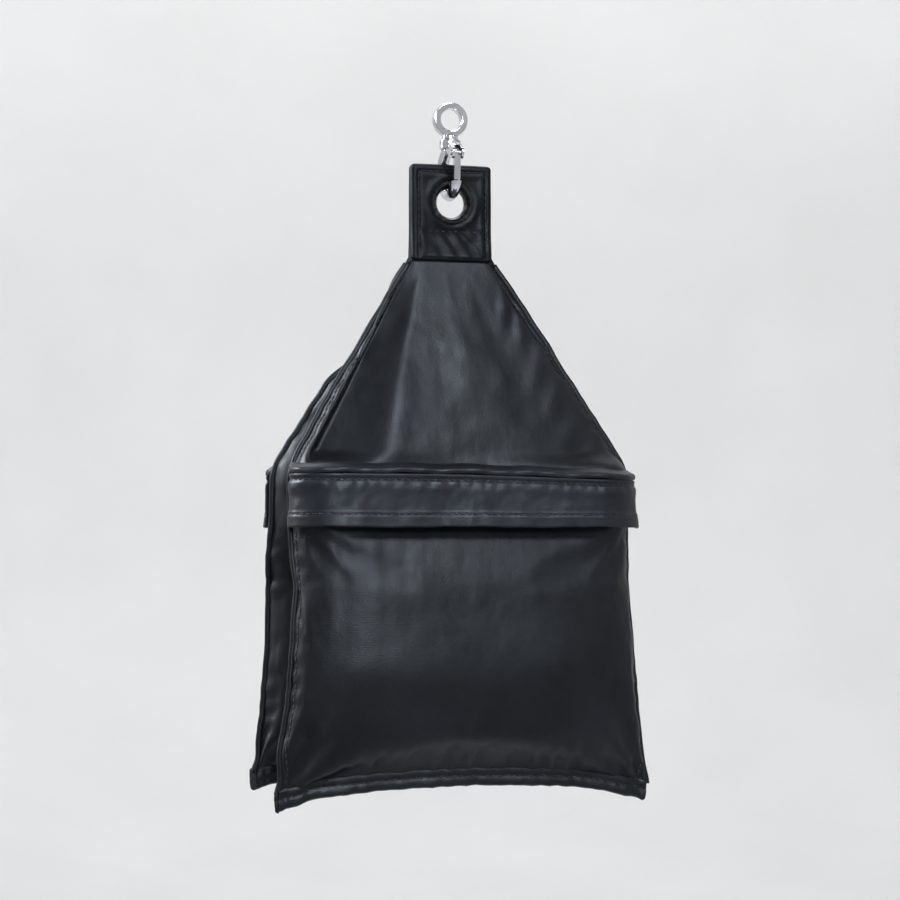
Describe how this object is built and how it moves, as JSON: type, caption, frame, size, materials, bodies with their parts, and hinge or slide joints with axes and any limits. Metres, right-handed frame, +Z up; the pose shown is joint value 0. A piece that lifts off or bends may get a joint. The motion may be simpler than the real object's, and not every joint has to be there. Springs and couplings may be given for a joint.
{
  "type": "sandbag",
  "caption": "Hanging counterweight sandbag: two sand-filled pouches back to back under one neck with a rolled eyelet, carried by a swivel snap hook.",
  "frame": {"origin": "centre of the swivel eye's bore, which the bag hangs from", "axes": "+Z up along the hook's swivel axis, -Y out of the bag's front face, +X to its right"},
  "size_m": [0.195, 0.1076, 0.3575],
  "materials": {
    "chromed_steel": "polished",
    "spring_steel": "satin",
    "coated_fabric": "satin black coated fabric",
    "webbing": "woven black",
    "black_eyelet": "black oxide",
    "liner_film": "clear film",
    "sand": "dry grains",
    "zip_tape": "woven black",
    "zip_coil": "satin",
    "zip_metal": "black enamel"
  },
  "bodies": {
    "swivel": {"swivel_eye": "chromed_steel", "swivel_washer": "chromed_steel"},
    "hook": {"hook_body": "chromed_steel", "gate_pin": "chromed_steel", "gate_spring": "spring_steel"},
    "gate": {"gate": "chromed_steel"},
    "neck": {"neck_cover": "coated_fabric", "neck_core": "webbing", "eyelet": "black_eyelet", "eyelet_washer": "black_eyelet"},
    "front_half": {"front_top_panel": "coated_fabric", "front_pouch_panel": "coated_fabric", "front_back_panel": "coated_fabric", "front_bottom_hem": "coated_fabric", "front_sand_liner": "liner_film", "front_sand_fill": "sand", "front_zip_tape_upper": "zip_tape", "front_zip_tape_lower": "zip_tape", "front_zip_coil": "zip_coil", "front_zip_stops": "zip_metal", "front_flap_header": "coated_fabric"},
    "front_flap": {"front_flap": "coated_fabric"},
    "front_zip_slider": {"front_zip_slider": "zip_metal"},
    "front_zip_pull": {"front_zip_pull": "zip_metal"},
    "rear_half": {"rear_top_panel": "coated_fabric", "rear_pouch_panel": "coated_fabric", "rear_back_panel": "coated_fabric", "rear_bottom_hem": "coated_fabric", "rear_sand_liner": "liner_film", "rear_sand_fill": "sand", "rear_zip_tape_upper": "zip_tape", "rear_zip_tape_lower": "zip_tape", "rear_zip_coil": "zip_coil", "rear_zip_stops": "zip_metal", "rear_flap_header": "coated_fabric"},
    "rear_flap": {"rear_flap": "coated_fabric"},
    "rear_zip_slider": {"rear_zip_slider": "zip_metal"},
    "rear_zip_pull": {"rear_zip_pull": "zip_metal"}
  },
  "joints": [
    {"name": "hook_swivel", "type": "hinge", "parent": "swivel", "child": "hook", "pos_m": [0, 0, 0], "axis": [0, 0, 1], "continuous": true},
    {"name": "gate_pivot", "type": "hinge", "parent": "hook", "child": "gate", "pos_m": [0, -0.012, -0.0185], "axis": [1, 0, 0], "range_deg": [0, 18], "stiffness_Nm_per_rad": 0.02, "springref_deg": -17.19},
    {"name": "bag_swing", "type": "hinge", "parent": "hook", "child": "neck", "pos_m": [0, 0, -0.039], "axis": [0, 1, 0], "range_deg": [-28, 28]},
    {"name": "front_spread", "type": "hinge", "parent": "neck", "child": "front_half", "pos_m": [0, -0.0042, -0.0733], "axis": [-1, 0, 0], "range_deg": [0, 30]},
    {"name": "front_flap_lift", "type": "hinge", "parent": "front_half", "child": "front_flap", "pos_m": [0, -0.0445, -0.183], "axis": [-1, 0, 0], "range_deg": [0, 150], "stiffness_Nm_per_rad": 0.002, "springref_deg": -8.59},
    {"name": "front_zip_slide", "type": "slide", "parent": "front_half", "child": "front_zip_slider", "axis": [1, 0, 0], "range_m": [0, 0.128]},
    {"name": "front_pull_swing", "type": "hinge", "parent": "front_zip_slider", "child": "front_zip_pull", "pos_m": [-0.064, -0.0412, -0.1946], "axis": [0, -1, 0], "range_deg": [-60, 60]},
    {"name": "rear_spread", "type": "hinge", "parent": "neck", "child": "rear_half", "pos_m": [0, 0.0042, -0.0733], "axis": [1, 0, 0], "range_deg": [0, 30]},
    {"name": "rear_flap_lift", "type": "hinge", "parent": "rear_half", "child": "rear_flap", "pos_m": [0, 0.0445, -0.183], "axis": [1, 0, 0], "range_deg": [0, 150], "stiffness_Nm_per_rad": 0.002, "springref_deg": -8.59},
    {"name": "rear_zip_slide", "type": "slide", "parent": "rear_half", "child": "rear_zip_slider", "axis": [-1, 0, 0], "range_m": [0, 0.128]},
    {"name": "rear_pull_swing", "type": "hinge", "parent": "rear_zip_slider", "child": "rear_zip_pull", "pos_m": [0.064, 0.0412, -0.1946], "axis": [0, 1, 0], "range_deg": [-60, 60]}
  ]
}
